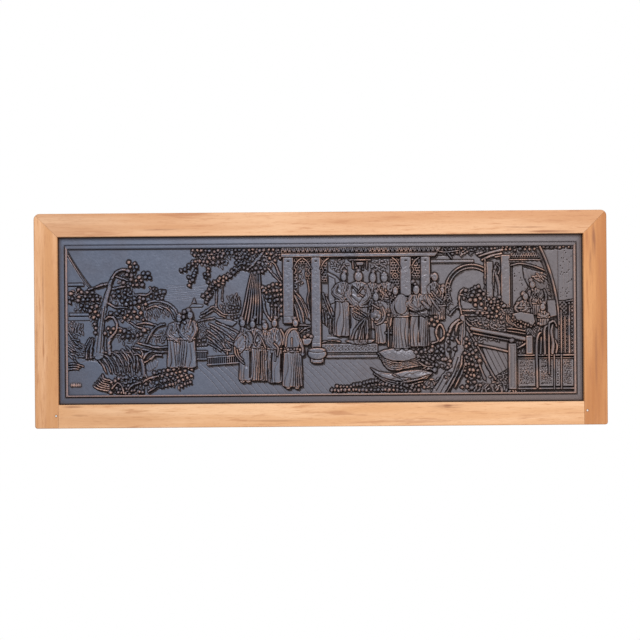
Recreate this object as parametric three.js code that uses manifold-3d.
// Carved wall panel: a dark relief casting of a garden and its pavilion, held in a plain hardwood frame.
// Millimetres. X runs to the right, Z up, and the carved face looks along -Y.
// The origin is the middle of the top rail's back face, where the panel hangs on the wall.

import * as THREE from 'three';
import { mergeVertices } from 'three/addons/utils/BufferGeometryUtils.js';
import Module from 'manifold-3d';

const wasm = await Module();
wasm.setup();

// Frame
const WIDTH = 1200;
const HEIGHT = 450;
const FRAME_DEPTH = 30;
const BAR_FACE = 49;
const UPPER_CORNER = 12;
const LOWER_CORNER = 5;
const CORNER_STEPS = 3;
const OUTER_ARRIS = 1.5;
const INNER_ARRIS = 1;
const FIT = 0.3;
const REBATE_DEPTH = 18;
const REBATE_LAP = 8;

// Joint pins, one in the left and one in the right stile near the bottom rail
const PIN_RADIUS = 2;
const PIN_LENGTH = 9;
const PIN_SIDES = 8;
const LEFT_PIN = { x: -555.5, z: -198.7 };
const RIGHT_PIN = { x: 557.2, z: -195.1 };

// Casting: heights are measured forward from the wall plane
const PANEL_BACK = 2;
const TONGUE_FACE = REBATE_DEPTH - FIT;
const BAND_FACE = 20;
const GROOVE_FACE = 17.5;
const RIM_FACE = 23;
const FIELD_FACE = 17;
const ROOT = 12;
const FAINT = 18.2;
const LOW = 19.5;
const MID = 21.5;
const HIGH = 24.5;
const CREST = 27.5;
const RIDGE_WIDTH = 7;
const FOLD_DEPTH = 2.2;

// Lines of the casting's border from its edge to the field: distances at the sides, below and above
const OPENING_X = WIDTH / 2 - BAR_FACE;
const OPENING_Z = HEIGHT / 2 - BAR_FACE;
const BORDER = [
  { side: OPENING_X + REBATE_LAP - FIT, below: OPENING_Z + REBATE_LAP - FIT, face: PANEL_BACK },
  { side: OPENING_X + REBATE_LAP - FIT, below: OPENING_Z + REBATE_LAP - FIT, face: TONGUE_FACE },
  { side: 550.5, below: 175.5, face: TONGUE_FACE },
  { side: 538.5, below: 162, above: 160, face: BAND_FACE },
  { side: 538, below: 161.5, above: 159.5, face: GROOVE_FACE },
  { side: 536, below: 159.7, above: 157.5, face: GROOVE_FACE },
  { side: 535.3, below: 159, above: 156.8, face: RIM_FACE },
  { side: 532, below: 156.8, above: 152, face: RIM_FACE },
  { side: 531, below: 156, above: 150, face: FIELD_FACE },
];

// Finishes
const railWood = () => new THREE.MeshStandardMaterial({ color: 0xe0a57a, roughness: 0.55, metalness: 0 });
const stileWood = () => new THREE.MeshStandardMaterial({ color: 0xdb9a66, roughness: 0.55, metalness: 0 });
const patina = () => new THREE.MeshStandardMaterial({ color: 0x4a4a52, roughness: 0.42, metalness: 0.35 });
const steel = () => new THREE.MeshStandardMaterial({ color: 0xcfc8be, roughness: 0.35, metalness: 0.9 });

// Closed forms

// Rings of points, stacked, become one closed body. Its two caps are fans, or are cut up in two named axes.
function loft(rings, capAxes) {
  const count = rings[0].length;
  const faces = [];
  for (let ring = 0; ring + 1 < rings.length; ring++) {
    for (let i = 0; i < count; i++) {
      const a = ring * count + i;
      const b = ring * count + ((i + 1) % count);
      faces.push([a, b, b + count], [a, b + count, a + count]);
    }
  }
  const last = (rings.length - 1) * count;
  capFaces(rings[0], capAxes).forEach(([a, b, c]) => faces.push([a, c, b]));
  capFaces(rings.at(-1), capAxes).forEach(([a, b, c]) => faces.push([last + a, last + b, last + c]));
  const points = rings.flat();
  const at = (i) => new THREE.Vector3(...points[i]);
  const volume = faces.reduce((sum, [a, b, c]) => sum + at(a).dot(at(b).cross(at(c))), 0);
  const geometry = new THREE.BufferGeometry();
  geometry.setAttribute('position', new THREE.Float32BufferAttribute(points.flat(), 3));
  geometry.setIndex(faces.flatMap(([a, b, c]) => (volume > 0 ? [a, b, c] : [a, c, b])));
  return geometry;
}

function capFaces(ring, axes) {
  if (!axes) {
    return ring.slice(2).map((_, i) => [0, i + 1, i + 2]);
  }
  const contour = ring.map((point) => new THREE.Vector2(point[axes[0]], point[axes[1]]));
  const forward = THREE.ShapeUtils.area(contour) > 0;
  return THREE.ShapeUtils.triangulateShape(contour, []).map(([a, b, c]) => {
    const turn = THREE.ShapeUtils.area([contour[a], contour[b], contour[c]]) > 0;
    return turn === forward ? [a, b, c] : [a, c, b];
  });
}

function toSolid(geometry) {
  const bare = geometry.clone();
  bare.deleteAttribute('normal');
  bare.deleteAttribute('uv');
  const merged = mergeVertices(bare, 1e-4);
  return new wasm.Manifold(new wasm.Mesh({
    numProp: 3,
    vertProperties: new Float32Array(merged.attributes.position.array),
    triVerts: new Uint32Array(merged.index.array),
  }));
}

function toMesh(name, solid, material) {
  const { vertProperties, triVerts } = solid.getMesh();
  const geometry = new THREE.BufferGeometry();
  geometry.setAttribute('position', new THREE.BufferAttribute(vertProperties, 3));
  geometry.setIndex(new THREE.BufferAttribute(triVerts, 1));
  geometry.computeVertexNormals();
  const mesh = new THREE.Mesh(geometry, material);
  mesh.name = name;
  return mesh;
}

const joined = (solids) => solids.reduce((whole, next) => whole.add(next));

// An outline moved inwards, by its own distance on each edge
function inset(outline, distances) {
  const turn = Math.sign(THREE.ShapeUtils.area(outline.map(([x, z]) => new THREE.Vector2(x, z))));
  const lines = outline.map(([x, z], i) => {
    const [nextX, nextZ] = outline[(i + 1) % outline.length];
    const length = Math.hypot(nextX - x, nextZ - z);
    const normal = [(-(nextZ - z) / length) * turn, ((nextX - x) / length) * turn];
    return { normal, offset: normal[0] * x + normal[1] * z + distances[i % distances.length] };
  });
  return lines.map((line, i) => {
    const before = lines[(i + lines.length - 1) % lines.length];
    const cross = before.normal[0] * line.normal[1] - before.normal[1] * line.normal[0];
    if (Math.abs(cross) < 0.05) {
      return outline[i].map((value, axis) => value + line.normal[axis] * distances[i % distances.length]);
    }
    return [
      (before.offset * line.normal[1] - line.offset * before.normal[1]) / cross,
      (before.normal[0] * line.offset - line.normal[0] * before.offset) / cross,
    ];
  });
}

const ringAt = (outline, face) => outline.map(([x, z]) => [x, -face, z]);

function box(x0, x1, y0, y1, z0, z1) {
  const geometry = new THREE.BoxGeometry(x1 - x0, y1 - y0, z1 - z0);
  geometry.translate((x0 + x1) / 2, (y0 + y1) / 2, (z0 + z1) / 2);
  return toSolid(geometry);
}

// Relief forms: each one is rooted inside the casting and only narrows towards the front

// A flat plate with a drafted edge
function pad(outline, face, draft = 1) {
  return toSolid(loft([ringAt(outline, ROOT), ringAt(inset(outline, [draft]), face)], [0, 2]));
}

const plate = (x0, x1, z0, z1, face, draft = 0.8) =>
  pad([[x0, z0], [x1, z0], [x1, z1], [x0, z1]], face, draft);

function oval(x, z, rx, rz, sides, tilt = 0, start = 0) {
  return Array.from({ length: sides }, (_, i) => {
    const angle = start + (i * 2 * Math.PI) / sides;
    const [u, w] = [rx * Math.cos(angle), rz * Math.sin(angle)];
    return [x + u * Math.cos(tilt) - w * Math.sin(tilt), z + u * Math.sin(tilt) + w * Math.cos(tilt)];
  });
}

// A head, a drum or a stone: an oval boss with a rounded shoulder
function boss(x, z, rx, rz, face, sides = 6) {
  const shoulder = face - Math.min(rx, rz) * 0.5;
  const rings = [[1, ROOT], [1, shoulder], [0.5, face]];
  return toSolid(loft(rings.map(([scale, height]) =>
    ringAt(oval(x, z, rx * scale, rz * scale, sides, 0, Math.PI / 2), height))));
}

// A bud: the small tapering knob that stands for one round leaf ball
const bud = (x, z, radius, face, turn = 0) =>
  toSolid(loft([ringAt(oval(x, z, radius, radius, 4, 0, turn), ROOT),
    ringAt(oval(x, z, radius * 0.55, radius * 0.55, 4, 0, turn), face)]));

// A tapering limb or bar along a route of [x, z, width]: flat-topped, or a plain ridge where it is slender
function limb(route, face, ridged = route.every(([, , width]) => width <= RIDGE_WIDTH)) {
  return toSolid(loft(route.map(([x, z, width], i) => {
    const [ax, az] = route[Math.max(i - 1, 0)];
    const [bx, bz] = route[Math.min(i + 1, route.length - 1)];
    const length = Math.hypot(bx - ax, bz - az);
    const [sideX, sideZ] = [-(bz - az) / length, (bx - ax) / length];
    const at = (across, height) => [x + sideX * across * width, -height, z + sideZ * across * width];
    const crest = ridged ? [at(0, face)] : [at(-0.28, face), at(0.28, face)];
    return [at(-0.5, ROOT), ...crest, at(0.5, ROOT)];
  })));
}

const limbs = (routes, face) => routes.map((route) => limb(route, face));

// A route along part of a circle, angles in degrees
function arcRoute(x, z, radius, from, to, steps, width) {
  return Array.from({ length: steps + 1 }, (_, i) => {
    const angle = THREE.MathUtils.degToRad(from + ((to - from) * i) / steps);
    return [x + radius * Math.cos(angle), z + radius * Math.sin(angle), width];
  });
}

// Places spread evenly over an oval, in the turning order of a seed head
const SEED_TURN = THREE.MathUtils.degToRad(137.5);
function spread({ x, z, rx, rz, tilt = 0, count }) {
  const lean = THREE.MathUtils.degToRad(tilt);
  return Array.from({ length: count }, (_, i) => {
    const reach = Math.sqrt((i + 0.5) / count);
    const [u, w] = [rx * reach * Math.cos(i * SEED_TURN), rz * reach * Math.sin(i * SEED_TURN)];
    return [x + u * Math.cos(lean) - w * Math.sin(lean), z + u * Math.sin(lean) + w * Math.cos(lean)];
  });
}

// Clusters of leaf balls
const leafClusters = (clusters, face, radius) =>
  clusters.flatMap((cluster) => spread(cluster).map(([x, z], i) => bud(x, z, radius, face, i)));

// A row of buds along a route of [x, z] points
function budRow(route, count, radius, face) {
  const curve = new THREE.SplineCurve(route.map(([x, z]) => new THREE.Vector2(x, z)));
  return curve.getSpacedPoints(count - 1).map(({ x, y }, i) => bud(x, y, radius, face, i));
}

// Pleated cloth or a fluted trunk: levels of { x, z, half, face }, folded across the front
function pleats(levels, folds, depth) {
  const steps = folds * 2;
  return toSolid(loft(levels.map(({ x, z, half, face }, level) => {
    const front = Array.from({ length: steps + 1 }, (_, i) => {
      const u = -1 + (2 * i) / steps;
      const round = (face - FIELD_FACE) * 0.45 * u * u;
      const fold = level > 1 && i % 2 === 1 ? depth : 0;
      return [x + u * half, -(face - round - fold), z];
    });
    return [...front, [x + half * 1.02, -ROOT, z], [x - half * 1.02, -ROOT, z]];
  }), [0, 1]));
}

// A robed figure: head and hair knot, pleated robe, sleeves and shoes
function figure({ head, x, shoulder, waist, hem, halves, face = HIGH, folds = 2, sleeves = [], ...extras }) {
  const { hood, knot, shoes } = extras;
  const [atShoulder, atWaist, atHem] = halves;
  const [headX, headZ] = head;
  const parts = [
    pleats([
      { x: headX, z: shoulder + 4, half: atShoulder * 0.45, face: face - 1.5 },
      { x: (headX + x) / 2, z: shoulder - 5, half: atShoulder, face },
      { x, z: waist, half: atWaist, face },
      { x, z: hem, half: atHem, face: face - 0.8 },
    ], folds, FOLD_DEPTH),
    boss(headX, headZ, 5.4, 7, face + 1.2),
    ...sleeves.map((sleeve) => limb(sleeve, face + 1.6, true)),
  ];
  if (knot) {
    parts.push(bud(headX + knot[0], headZ + knot[1], 4.4, face, 0.3));
  }
  if (hood) {
    parts.push(pad(oval(...hood, 6), face + 1.5, 2));
  }
  if (shoes) {
    [-0.5, 0.5].forEach((side) => parts.push(bud(x + side * atHem, hem - 1, 5.5, face - 2, 0.6)));
  }
  return parts;
}

// A low railing: a top and a bottom bar with upright bars between them
function railing({ x0, x1, top, bottom, fall = 0, bars, face }) {
  const parts = [
    limb([[x0, top, 5], [x1, top - fall, 5]], face),
    limb([[x0, bottom, 5], [x1, bottom - fall, 5]], face),
  ];
  for (let i = 0; i < bars; i++) {
    const x = x0 + ((x1 - x0) * (i + 0.5)) / bars;
    const drop = (fall * (x - x0)) / (x1 - x0);
    parts.push(limb([[x, bottom - drop, 2.4], [x, top - drop, 2.4]], face - 0.7));
  }
  return parts;
}

// A fretwork bracket that steps down from a beam beside a column
const bracket = (x, z, side, face) => [
  plate(x + Math.min(0, side * 15), x + Math.max(0, side * 15), z - 5, z, face),
  plate(x + Math.min(0, side * 7), x + Math.max(0, side * 7), z - 30, z - 8, face),
];

// Scene, placed by x and z from the middle of the whole panel

// The old pine at the left, its second stem, and the bare saplings beside it
const PINE_STEMS = [
  [[-466, -82, 24], [-465, -50, 18], [-463, -15, 15], [-458, 20, 13], [-450, 55, 11], [-443, 80, 9]],
  [[-447, -68, 12], [-444, -46, 9], [-436, -31, 8], [-429, -16, 6], [-431, 2, 5.5], [-441, 9, 5],
    [-452, 4, 4]],
];
const PINE_BRANCHES = [
  [[-445, 76, 8], [-436, 92, 7], [-424, 103, 6], [-411, 104, 5], [-400, 97, 4]],
  [[-445, 77, 7], [-462, 71, 5.5], [-484, 66, 4.5]],
  [[-452, 39, 7], [-440, 32, 6], [-427, 28, 5], [-410, 27, 4]],
  [[-429, -12, 5], [-404, -22, 4]],
  [[-491, -80, 7], [-488, -58, 6.5], [-480, -36, 4]],
  [[-484, -80, 7], [-481, -44, 4.5]],
];
const PINE_LEAVES = [
  { x: -394, z: 115, rx: 12, rz: 12, count: 3 },
  { x: -374, z: 90, rx: 20, rz: 11, tilt: 25, count: 4 },
  { x: -410, z: 83, rx: 16, rz: 10, tilt: -20, count: 3 },
  { x: -500, z: 50, rx: 30, rz: 12, tilt: -8, count: 4 },
  { x: -484, z: 32, rx: 20, rz: 10, count: 3 },
  { x: -414, z: 55, rx: 27, rz: 10, tilt: -6, count: 4 },
  { x: -394, z: 41, rx: 20, rz: 10, count: 3 },
  { x: -422, z: 16, rx: 27, rz: 9, count: 4 },
  { x: -386, z: 12, rx: 18, rz: 11, count: 3 },
  { x: -446, z: -17, rx: 10, rz: 9, count: 2 },
  { x: -402, z: -28, rx: 22, rz: 9, count: 3 },
];

// Terrace eave and edge, the smooth boulder with its split strata, and the bank below
const EAVE = [[-530, 148, 5], [-521, 125, 5], [-506, 98, 5], [-493, 78, 5], [-482, 66, 4.5]];
const TERRACE_EDGES = [[-531, -498, 74, 78], [-531, -486, 12, 16]];
const BOULDER = [[-531, -100], [-518, -89], [-500, -84], [-480, -78], [-462, -83], [-450, -97], [-446, -118],
  [-450, -140], [-460, -155], [-531, -155]];
const STRATA = [
  [[-478, -73, 6], [-458, -83, 6], [-445, -98, 6], [-441, -116, 4]],
  [[-468, -67, 6], [-447, -74, 6], [-434, -90, 6], [-430, -112, 4]],
  [[-452, -64, 6], [-434, -70, 7], [-419, -86, 7], [-413, -108, 4]],
];
const BANK_STEMS = [
  [[-374, -122, 10], [-374, -96, 8], [-369, -76, 7], [-360, -65, 5]],
  [[-370, -88, 6], [-353, -75, 5], [-338, -70, 4]],
  [[-375, -98, 6], [-386, -80, 5], [-393, -68, 4]],
  [[-400, -44, 6], [-370, -51, 7], [-342, -56, 8], [-316, -54, 7]],
  [[-365, -46, 7], [-356, -27, 6], [-343, -12, 5], [-328, -5, 4]],
];
const BANK_LEAVES = [
  { x: -420, z: -141, rx: 28, rz: 10, count: 3 },
  { x: -378, z: -138, rx: 22, rz: 13, count: 3 },
  { x: -330, z: -117, rx: 36, rz: 13, tilt: 4, count: 4 },
  { x: -279, z: -119, rx: 13, rz: 15, count: 2 },
];
const ROCK_FALL = [[-428, -60], [-408, -48], [-384, -60], [-376, -88], [-388, -120], [-410, -124],
  [-424, -100]];

// Hills, roofs and rocks across the water
const HILLS = [
  [[-382, 36, 12], [-350, 44, 12], [-322, 38, 9], [-306, 22, 5]],
  [[-240, 20, 5], [-227, 28, 5], [-208, 15, 4], [-185, 8, 4]],
  [[-252, 14, 6], [-232, 10, 7], [-200, 4, 7], [-176, 2, 5]],
];
const FAR_LEDGES = [
  [[-238, -6, 6], [-216, -22, 7], [-196, -42, 6], [-172, -84, 4]],
  [[-220, 0, 6], [-200, -14, 7], [-178, -28, 6]],
  [[-232, -28, 7], [-212, -44, 7], [-192, -62, 6]],
];
const BOAT = [[-276, 37], [-270, 35], [-262, 35], [-257, 38], [-265, 40], [-268, 46], [-270, 40]];
const RAILINGS = [
  { x0: -268, x1: -240, top: -64, bottom: -82, bars: 3, face: LOW },
  { x0: -238, x1: -164, top: -78, bottom: -95, fall: -5, bars: 6, face: LOW },
];

// The cypress: fluted trunk, canopy along the upper rim and hanging sprays
const CYPRESS_TRUNK = [
  { x: -136, z: 104, half: 6, face: HIGH },
  { x: -140, z: 78, half: 10, face: HIGH },
  { x: -145, z: 40, half: 15, face: HIGH },
  { x: -148, z: -14, half: 18, face: HIGH },
];
const CANOPY = [
  { x: -252, z: 138, rx: 20, rz: 11, count: 4 },
  { x: -262, z: 118, rx: 14, rz: 9, tilt: 25, count: 2 },
  { x: -222, z: 130, rx: 20, rz: 18, count: 4 },
  { x: -186, z: 140, rx: 20, rz: 9, count: 3 },
  { x: -158, z: 124, rx: 15, rz: 19, tilt: -10, count: 3 },
  { x: -128, z: 132, rx: 18, rz: 15, count: 3 },
  { x: -98, z: 138, rx: 18, rz: 11, count: 3 },
  { x: -138, z: 108, rx: 13, rz: 8, count: 2 },
  { x: -97, z: 57, rx: 19, rz: 18, count: 4 },
];
const SPRAYS = [
  { route: [[-278, 110], [-274, 92], [-272, 74]], count: 2 },
  { route: [[-258, 108], [-262, 92]], count: 2 },
  { route: [[-240, 112], [-240, 92]], count: 2 },
  { route: [[-170, 108], [-195, 96], [-220, 78]], count: 4 },
  { route: [[-228, 72], [-234, 56], [-240, 40]], count: 2 },
];
const CYPRESS_BRANCHES = [
  [[-116, 110, 6], [-100, 90, 5], [-83, 74, 4]],
  [[-102, 128, 6], [-90, 108, 5], [-81, 84, 4]],
  [[-131, 44, 7], [-122, 22, 6], [-104, -3, 4]],
  [[-100, 38, 4], [-100, -8, 4]],
  [[-91, 38, 4], [-91, -10, 4]],
];

// The pavilion: beam with its dentils, four columns, brackets, lantern, dais and back wall
const BEAM = { x0: -82, x1: 246, bottom: 131, mid: 139, top: 151 };
const DENTIL_PITCH = 24;
const COLUMNS = [
  { x0: -78, x1: -57, z0: -8 },
  { x0: -19, x1: 0, z0: -64 },
  { x0: 168, x1: 190, z0: 48 },
  { x0: 211, x1: 230, z0: 40 },
];
const BRACKETS = [[-57, 129, 1], [-19, 129, -1], [0, 129, 1], [168, 129, -1], [190, 129, 1]];
const DRUM = { x: -8, z: -72, rx: 20, rz: 15 };
const LANTERN = { x0: 62, x1: 104, top: 125, legs: 108 };
const DAIS = [
  { z0: -71, z1: -53, x0: 2, x1: 146, face: FAINT },
  { z0: -83, z1: -75, x0: 10, x1: 124, face: FAINT },
];
const PAVILION_ROOTS = [
  [[-53, 60, 7], [-40, 36, 7], [-30, 12, 6], [-24, -8, 4]],
  [[-53, 36, 6], [-42, 14, 6], [-36, -4, 4]],
];

// Figures: two on the garden path, five on the terrace, and the company in the pavilion
const PATH_FIGURES = [
  { head: [-297, 5], x: -311, shoulder: -8, waist: -36, hem: -98, halves: [13, 11, 14],
    sleeves: [[[-318, -14, 10], [-312, -36, 7]]] },
  { head: [-274, 11], x: -281, shoulder: -4, waist: -38, hem: -98, halves: [14, 14, 17], knot: [4, 10],
    sleeves: [[[-263, -8, 10], [-272, -38, 8]]] },
];
const TERRACE_FIGURES = [
  { head: [-164, -10], x: -160, shoulder: -22, waist: -70, hem: -129, halves: [11, 10, 12], knot: [3, 11],
    sleeves: [[[-156, -28, 10], [-176, -58, 16]]], shoes: true },
  { head: [-142, -4], x: -138, shoulder: -16, waist: -62, hem: -127, halves: [13, 12, 13], knot: [4, 10],
    sleeves: [[[-130, -24, 9], [-144, -48, 8]]] },
  { head: [-122, -12], x: -118, shoulder: -24, waist: -68, hem: -128, halves: [10, 9, 10], face: HIGH - 1.5 },
  { head: [-96, -6], x: -98, shoulder: -18, waist: -68, hem: -132, halves: [15, 13, 13], knot: [1, 10],
    sleeves: [[[-108, -28, 9], [-96, -56, 8]]] },
  { head: [-53, -6], x: -60, shoulder: -20, waist: -70, hem: -141, halves: [14, 17, 24], face: CREST - 1.5,
    folds: 4, hood: [-63, -46, 16, 26], sleeves: [[[-50, -34, 9], [-36, -74, 9]]], shoes: true },
];
const COURT_FIGURES = [
  { head: [48, 86], x: 43, shoulder: 72, waist: 38, hem: -35, halves: [15, 13, 20],
    sleeves: [[[33, 62, 10], [50, 42, 9]]], shoes: true },
  { head: [80, 88], x: 80, shoulder: 74, waist: 30, hem: -50, halves: [14, 14, 17],
    sleeves: [[[64, 22, 10], [98, -12, 9]]] },
  { head: [107, 84], x: 104, shoulder: 70, waist: 40, hem: 20, halves: [13, 13, 12] },
  { head: [133, 87], x: 136, shoulder: 72, waist: 48, hem: -20, halves: [13, 12, 12],
    sleeves: [[[128, 58, 8], [146, 42, 7]]] },
  { head: [115, 44], x: 124, shoulder: 30, waist: -8, hem: -51, halves: [12, 9, 10], face: HIGH + 1 },
  { head: [157, 57], x: 168, shoulder: 44, waist: 2, hem: -62, halves: [15, 15, 19], face: CREST - 2,
    hood: [168, 28, 14, 24] },
  { head: [199, 57], x: 208, shoulder: 44, waist: 2, hem: -58, halves: [16, 15, 20], knot: [0, 10],
    sleeves: [[[188, 18, 7], [232, -4, 6]]] },
  { head: [240, 86], x: 240, shoulder: 72, waist: 40, hem: 8, halves: [12, 12, 13], face: HIGH - 2 },
];
const GATE_FIGURES = [
  { head: [445, 67], x: 446, shoulder: 54, waist: 30, hem: 10, halves: [15, 17, 18], face: MID + 2 },
  { head: [431, 43], x: 424, shoulder: 30, waist: 20, hem: 10, halves: [14, 15, 15], face: HIGH },
  { head: [464, 20], x: 462, shoulder: 8, waist: -4, hem: -16, halves: [11, 12, 12], face: MID + 2 },
];
const HAND_DRUM = { x: 113, z: 9, rx: 15, rz: 15 };
const FRUIT_BOWL = [[-39, -41], [-18, -40], [-22, -50], [-28, -54], [-36, -53]];
const FRUIT = [[-34, -37], [-27, -34], [-20, -36]];

// Rocks before the dais
const LEDGES = [
  { outline: [[121, -71], [150, -62], [190, -67], [198, -78], [176, -90], [146, -84]], face: HIGH },
  { outline: [[128, -80], [160, -88], [204, -86], [206, -98], [170, -104], [134, -98]], face: MID },
  { outline: [[104, -104], [134, -111], [172, -110], [214, -98], [232, -104], [214, -122], [166, -128],
    [122, -119]],
    face: HIGH },
  { outline: [[122, -124], [170, -130], [222, -122], [232, -136], [196, -148], [136, -140]], face: MID },
];
const PEBBLE_ROW = {
  route: [[26, -150], [60, -146], [92, -141], [125, -147], [160, -142], [190, -146]], count: 8,
};

// The old tree on the right, its roots and leaf clusters
const RIGHT_STEMS = [
  [[250, -160, 36], [268, -130, 31], [283, -98, 24], [292, -66, 19], [297, -36, 15], [299, 0, 12]],
  [[362, -138, 8], [350, -112, 9], [338, -82, 9], [326, -56, 9], [304, -24, 8]],
];
const RIGHT_BRANCHES = [
  [[298, 2, 9], [291, 22, 7], [279, 15, 6], [267, 0, 5]],
  [[294, 12, 7], [291, 38, 6], [296, 57, 6], [308, 65, 4]],
  [[300, 14, 6], [326, 16, 6], [356, 12, 4]],
  [[285, -98, 8], [273, -72, 7], [270, -42, 6], [274, -14, 5]],
];
const TREE_HOLLOWS = [
  [[243, -22, 5], [249, -14, 5], [257, -20, 5], [258, -36, 5], [252, -46, 4]],
  [[294, -14, 5], [285, -18, 5], [284, -40, 5], [288, -56, 4]],
];
const RIGHT_LEAVES = [
  { x: 320, z: 56, rx: 29, rz: 15, count: 5 },
  { x: 365, z: 32, rx: 22, rz: 14, count: 4 },
  { x: 342, z: 7, rx: 28, rz: 7, count: 3 },
  { x: 240, z: -2, rx: 18, rz: 16, count: 4 },
  { x: 250, z: 32, rx: 9, rz: 20, count: 2 },
  { x: 318, z: -62, rx: 14, rz: 34, tilt: 6, count: 4 },
  { x: 322, z: -112, rx: 18, rz: 20, count: 3 },
  { x: 226, z: -76, rx: 25, rz: 19, count: 5 },
  { x: 262, z: -62, rx: 12, rz: 22, count: 3 },
  { x: 300, z: -144, rx: 16, rz: 8, count: 2 },
];

// Moon gate, side chamber and its great round opening
const GATE_ROOF = [[232, 130], [300, 134], [380, 146], [400, 150], [232, 150]];
const GATE_ROOF_LEAVES = {
  route: [[262, 144], [300, 146], [340, 142], [380, 146], [420, 144], [452, 142]], count: 7,
};
const GATE_BEAM = { x0: 231, x1: 322, z0: 118, z1: 123 };
const MOON_GATE = { x: 317, z: 52, radius: 50, from: 212, to: 62, steps: 9, width: 8 };
const CHAMBER_POSTS = [
  { x0: 344, x1: 349, z0: 20, z1: 120, face: LOW },
  { x0: 350, x1: 361, z0: 34, z1: 118, face: LOW },
  { x0: 381, x1: 398, z0: 22, z1: 132, face: MID },
];
const CURTAIN = [[371, 112, 8], [365, 96, 10], [373, 80, 10], [377, 62, 8], [375, 46, 4]];
const ROUND_OPENING = { x: 81, z: -29, radius: 416, from: 1, to: 25, steps: 6 };
const AWNING = [[400, 108], [420, 113], [446, 106], [474, 96], [468, 118], [458, 146], [400, 148]];
const SIDE_DRAPE = [[424, 104], [446, 98], [472, 90], [484, 60], [488, 40], [452, 38], [436, 60], [428, 82]];
const CLOTH_TABLE = [[402, 7], [420, 12], [446, 6], [450, -10], [436, -16], [418, -10], [404, -4]];
const TABLE_ROCK = [[391, 4], [402, -4], [412, -14], [430, -18], [434, -26], [404, -26], [392, -14]];
const SCALLOPS = { x0: 466, x1: 528, z: 150, count: 7 };

// Bridge and fence at the lower right
const HANDRAILS = [
  [[317, -22, 8], [350, -29, 8], [390, -37, 8], [433, -44, 8]],
  [[332, -56, 6], [365, -64, 6], [397, -73, 6]],
];
const PLANKS = [[338, -62], [392, -75], [392, -106], [364, -120], [350, -92]];
const POSTS = [{ x0: 394, x1: 410, z0: -146, z1: -54 }, { x0: 431, x1: 444, z0: -76, z1: -38 }];
const KNOB = { x: 402, z: -49, rx: 7, rz: 6 };
const FENCE = { x0: 411, x1: 531, rail: -77, foot: -150 };
const FENCE_UPRIGHTS = [415, 455, 490, 527];
const HOOKED_BARS = [
  [[453, -140, 5], [453, -60, 5], [456, -44, 4]],
  [[461, -76, 5], [461, -42, 4]],
  [[470, -110, 5], [470, -24, 5], [475, -12, 4]],
  [[480, -76, 5], [479, -20, 5], [485, -10, 5], [493, -20, 4]],
  [[487, -74, 6], [491, -52, 7], [488, -32, 6], [494, -18, 4]],
];
const WALL_BARS = [{ x0: 519, x1: 526, z0: -76, z1: 32 }, { x0: 503, x1: 508, z0: -76, z1: 10 }];

const columnForms = () => COLUMNS.map(({ x0, x1, z0 }) => plate(x0, x1, z0, BEAM.bottom + 2, MID + 1));

const beamForms = () => {
  const parts = [
    plate(BEAM.x0, BEAM.x1, BEAM.bottom, BEAM.top, MID, 1),
    plate(BEAM.x0, BEAM.x1, BEAM.bottom, BEAM.mid, MID + 2, 1),
  ];
  for (let x = BEAM.x0 + DENTIL_PITCH / 2; x < BEAM.x1; x += DENTIL_PITCH) {
    parts.push(bud(x, (BEAM.mid + BEAM.top) / 2 + 1, 4.5, MID + 2.5, 0));
  }
  return parts;
};

const lanternForms = () => [
  plate(LANTERN.x0, LANTERN.x1, LANTERN.top - 4, LANTERN.top, MID),
  plate(LANTERN.x0 + 6, LANTERN.x0 + 10, LANTERN.legs, LANTERN.top, MID - 0.6),
  plate(LANTERN.x1 - 10, LANTERN.x1 - 6, LANTERN.legs, LANTERN.top, MID - 0.6),
  boss((LANTERN.x0 + LANTERN.x1) / 2, 114, 9, 6, MID),
];

// The wall beside the great round opening, cut to its curve
function sideWall() {
  const { x, z, radius, from, to, steps } = ROUND_OPENING;
  const edge = arcRoute(x, z, radius, from, to, steps, 0).map(([u, w]) => [u, w]);
  return [
    pad([...edge, [532, 152], [532, -80], [498, -80]], LOW, 0.8),
    limb(arcRoute(x, z, radius + 1.5, from, to, steps, 5), MID + 1),
  ];
}

const fenceForms = () => [
  plate(FENCE.x0, FENCE.x1, FENCE.foot, FENCE.rail - 4, LOW, 0.8),
  plate(FENCE.x0, FENCE.x1, FENCE.rail - 4, FENCE.rail + 3, MID),
  ...FENCE_UPRIGHTS.map((x) => plate(x - 3, x + 3, FENCE.foot, FENCE.rail - 3, MID)),
];

const gateForms = () => [
  pad(GATE_ROOF, LOW, 1),
  ...budRow(GATE_ROOF_LEAVES.route, GATE_ROOF_LEAVES.count, 6, MID + 1),
  plate(GATE_BEAM.x0, GATE_BEAM.x1, GATE_BEAM.z0, GATE_BEAM.z1, MID),
  limb(arcRoute(MOON_GATE.x, MOON_GATE.z, MOON_GATE.radius, MOON_GATE.from, MOON_GATE.to, MOON_GATE.steps,
    MOON_GATE.width), MID),
  ...CHAMBER_POSTS.map(({ x0, x1, z0, z1, face }) => plate(x0, x1, z0, z1, face)),
  limb(CURTAIN, MID + 1),
  ...sideWall(),
  pad(AWNING, LOW, 1),
  pad(SIDE_DRAPE, FAINT, 0.6),
  pad(CLOTH_TABLE, HIGH, 1.6),
  pad(TABLE_ROCK, MID, 1.2),
  ...spreadAlong(SCALLOPS.x0, SCALLOPS.x1, SCALLOPS.count)
    .map((x) => bud(x, SCALLOPS.z, 6, MID + 1, Math.PI / 10)),
];

const spreadAlong = (from, to, count) =>
  Array.from({ length: count }, (_, i) => from + ((to - from) * i) / (count - 1));

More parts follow.
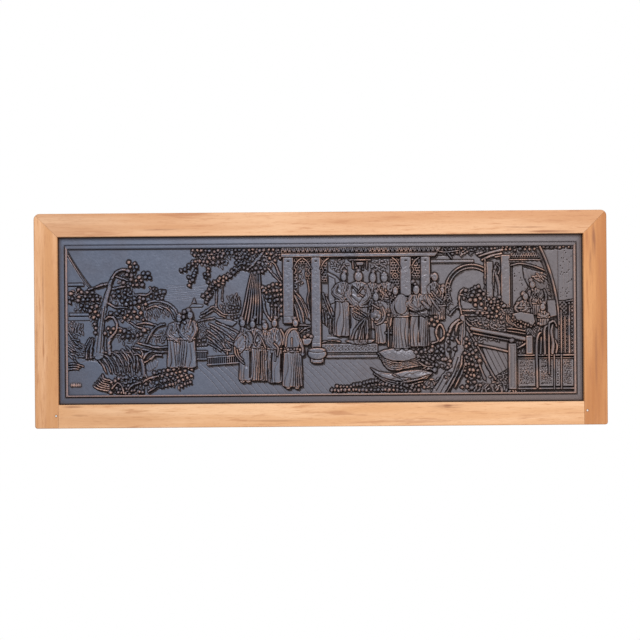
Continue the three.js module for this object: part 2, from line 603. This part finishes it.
const bridgeForms = () => [
  ...limbs(HANDRAILS, MID + 1),
  pad(PLANKS, LOW, 0.8),
  ...POSTS.map(({ x0, x1, z0, z1 }) => plate(x0, x1, z0, z1, HIGH, 1.2)),
  boss(KNOB.x, KNOB.z, KNOB.rx, KNOB.rz, HIGH),
  ...fenceForms(),
  ...limbs(HOOKED_BARS, HIGH),
  ...WALL_BARS.map(({ x0, x1, z0, z1 }) => plate(x0, x1, z0, z1, MID)),
];

const gardenForms = () => [
  ...limbs(PINE_STEMS, HIGH + 1),
  ...limbs(PINE_BRANCHES, HIGH),
  ...leafClusters(PINE_LEAVES, HIGH, 6),
  limb(EAVE, MID),
  ...TERRACE_EDGES.map((edge) => plate(...edge, LOW)),
  pad(BOULDER, LOW, 1.5),
  ...limbs(STRATA, MID + 1),
  ...limbs(BANK_STEMS, HIGH),
  ...leafClusters(BANK_LEAVES, HIGH, 6),
  pad(ROCK_FALL, MID, 1.5),
];

const distanceForms = () => [
  ...limbs(HILLS, LOW),
  ...limbs(FAR_LEDGES, MID),
  pad(BOAT, FAINT, 0.4),
  ...RAILINGS.flatMap(railing),
];

const cypressForms = () => [
  pleats(CYPRESS_TRUNK, 4, 2.2),
  ...leafClusters(CANOPY, HIGH, 7),
  ...SPRAYS.flatMap(({ route, count }) => budRow(route, count, 5, MID + 1)),
  ...limbs(CYPRESS_BRANCHES, MID),
];

const pavilionForms = () => [
  ...columnForms(),
  ...beamForms(),
  ...BRACKETS.flatMap(([x, z, side]) => bracket(x, z, side, MID)),
  pad(oval(DRUM.x, DRUM.z, DRUM.rx, DRUM.rz, 10), HIGH, 2.5),
  plate(DRUM.x - 9, DRUM.x + 9, DRUM.z - 18, DRUM.z, MID),
  ...lanternForms(),
  ...DAIS.map(({ x0, x1, z0, z1, face }) => plate(x0, x1, z0, z1, face, 0.5)),
  ...limbs(PAVILION_ROOTS, MID),
  plate(143, 148, -60, -30, HIGH - 1),
];

const peopleForms = () => [
  ...[...PATH_FIGURES, ...TERRACE_FIGURES, ...COURT_FIGURES, ...GATE_FIGURES].flatMap(figure),
  boss(HAND_DRUM.x, HAND_DRUM.z, HAND_DRUM.rx, HAND_DRUM.rz, CREST, 8),
  pad(FRUIT_BOWL, HIGH, 1.2),
  ...FRUIT.map(([x, z]) => bud(x, z, 4.5, HIGH + 1)),
];

const rockForms = () => [
  ...LEDGES.map(({ outline, face }) => pad(outline, face, 1.5)),
  ...budRow(PEBBLE_ROW.route, PEBBLE_ROW.count, 6, HIGH),
];

const rightTreeForms = () => [
  ...limbs(RIGHT_STEMS, HIGH + 1),
  ...limbs(RIGHT_BRANCHES, HIGH),
  ...limbs(TREE_HOLLOWS, HIGH),
  ...leafClusters(RIGHT_LEAVES, HIGH, 6),
];

// The casting: stepped border, sunk field and the whole relief, kept inside the rim
function reliefPanel() {
  const rings = BORDER.map(({ side, below, above = below, face }) =>
    ringAt([[-side, -below], [side, -below], [side, above], [-side, above]], face));
  const body = toSolid(loft(rings));
  const rim = BORDER.at(-2);
  const carved = joined([
    ...gardenForms(),
    ...distanceForms(),
    ...cypressForms(),
    ...pavilionForms(),
    ...peopleForms(),
    ...rockForms(),
    ...rightTreeForms(),
    ...gateForms(),
    ...bridgeForms(),
  ]);
  const inRim = box(-rim.side, rim.side, -FRAME_DEPTH, -ROOT, -rim.below, rim.above);
  return body.add(carved.intersect(inRim));
}

// Frame bars: an outline seen from the front, an arris on its free edges, a rebate behind for the casting
const corner = (x, z, radius, from, to) =>
  arcRoute(x, z, radius, from, to, CORNER_STEPS, 0).map(([u, w]) => [u, w]);

function bar(outline, arrises) {
  const body = toSolid(loft([
    ringAt(outline, 0),
    ringAt(outline, FRAME_DEPTH - Math.max(...arrises)),
    ringAt(inset(outline, arrises), FRAME_DEPTH),
  ], [0, 2]));
  const [x, z] = [OPENING_X + REBATE_LAP, OPENING_Z + REBATE_LAP];
  return body.subtract(box(-x, x, -REBATE_DEPTH, FIT, -z, z));
}

// Upper corners are mitred; the mitre line is shared with a fitting gap
const HALF_X = WIDTH / 2;
const HALF_Z = HEIGHT / 2;
const MITRE_GAP = FIT / 2;

function topRail() {
  const [cx, cz] = [HALF_X - UPPER_CORNER, HALF_Z - UPPER_CORNER];
  const right = corner(cx, cz, UPPER_CORNER, 90, 45);
  const left = right.map(([x, z]) => [-x, z]).reverse();
  const outline = [[-OPENING_X, OPENING_Z], ...left, ...right, [OPENING_X, OPENING_Z]];
  const shifted = outline.map(([x, z], i) => {
    const onMitre = i < 2 || i > outline.length - 3;
    return onMitre ? [x - Math.sign(x) * MITRE_GAP * Math.SQRT2, z] : [x, z];
  });
  const outer = Array(CORNER_STEPS * 2 + 1).fill(OUTER_ARRIS);
  return bar(shifted, [0, ...outer, 0, INNER_ARRIS]);
}

function stile(side) {
  const upper = corner(HALF_X - UPPER_CORNER, HALF_Z - UPPER_CORNER, UPPER_CORNER, 45, 0);
  const lower = corner(HALF_X - LOWER_CORNER, -(HALF_Z - LOWER_CORNER), LOWER_CORNER, 0, -90);
  const mitred = [[OPENING_X, OPENING_Z], ...upper].map(([x, z], i) =>
    (i < 2 ? [x, z - MITRE_GAP * Math.SQRT2] : [x, z]));
  const outline = [...mitred, ...lower, [OPENING_X, -HALF_Z], [OPENING_X, -OPENING_Z]];
  const outer = Array(CORNER_STEPS * 2 + 2).fill(OUTER_ARRIS);
  const arrises = [0, ...outer, 0, INNER_ARRIS];
  return bar(outline.map(([x, z]) => [x * side, z]), arrises);
}

function bottomRail() {
  const reach = OPENING_X - FIT;
  const outline = [[-reach, -HALF_Z], [reach, -HALF_Z], [reach, -OPENING_Z], [-reach, -OPENING_Z]];
  return bar(outline, [OUTER_ARRIS, 0, INNER_ARRIS, 0]);
}

// A round body along Y between two distances from the wall
function roundBody({ x, z }, radius, near, far) {
  const geometry = new THREE.CylinderGeometry(radius, radius, far - near, PIN_SIDES);
  geometry.translate(x, -(far + near) / 2, z);
  return toSolid(geometry);
}

const PIN_FOOT = FRAME_DEPTH - PIN_LENGTH;
const pin = (place) => roundBody(place, PIN_RADIUS, PIN_FOOT, FRAME_DEPTH);
const pinHole = (place) => roundBody(place, PIN_RADIUS + FIT, PIN_FOOT - FIT, FRAME_DEPTH + PIN_RADIUS);

const centred = new THREE.Group();
centred.position.z = -(HALF_Z - BAR_FACE / 2);
centred.add(
  toMesh('top_rail', topRail(), railWood()),
  toMesh('bottom_rail', bottomRail(), railWood()),
  toMesh('left_stile', stile(-1).subtract(pinHole(LEFT_PIN)), stileWood()),
  toMesh('right_stile', stile(1).subtract(pinHole(RIGHT_PIN)), stileWood()),
  toMesh('relief_panel', reliefPanel(), patina()),
  toMesh('joint_pin_left', pin(LEFT_PIN), steel()),
  toMesh('joint_pin_right', pin(RIGHT_PIN), steel()),
);

const wallPanel = new THREE.Group();
wallPanel.add(centred);
export default wallPanel;
